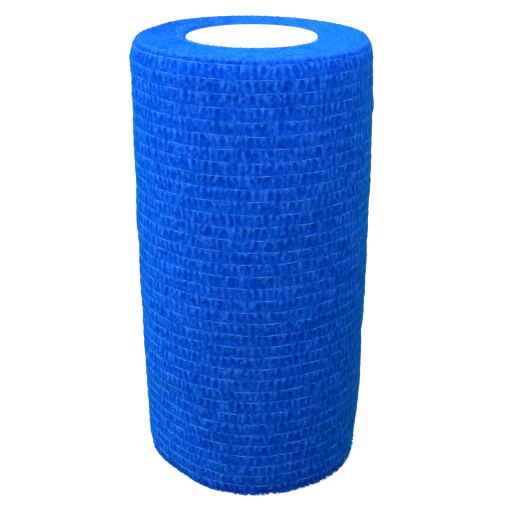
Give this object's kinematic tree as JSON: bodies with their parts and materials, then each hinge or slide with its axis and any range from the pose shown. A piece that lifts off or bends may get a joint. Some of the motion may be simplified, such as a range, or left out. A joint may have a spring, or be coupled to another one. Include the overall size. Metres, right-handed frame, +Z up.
{
  "type": "cohesive bandage roll",
  "caption": "Full roll of self-adhering elastic bandage in bright blue crinkled cloth with ribbed thread rows, wound on a white core, standing on one wound end.",
  "frame": {"origin": "middle of the wound end that the roll stands on, on its axis", "axes": "+Z up along the roll's axis, the strip's width; -Y towards the viewer of the picture; the strip's cut outer end lies on the +Y side"},
  "size_m": [0.0523, 0.0527, 0.1],
  "materials": {
    "bandage_cloth": "matt crinkled nonwoven with fine elastic threads, slightly fuzzy",
    "core": "matt white tube"
  },
  "bodies": {
    "root": {"bandage_roll": "bandage_cloth", "core": "core"}
  },
  "joints": []
}
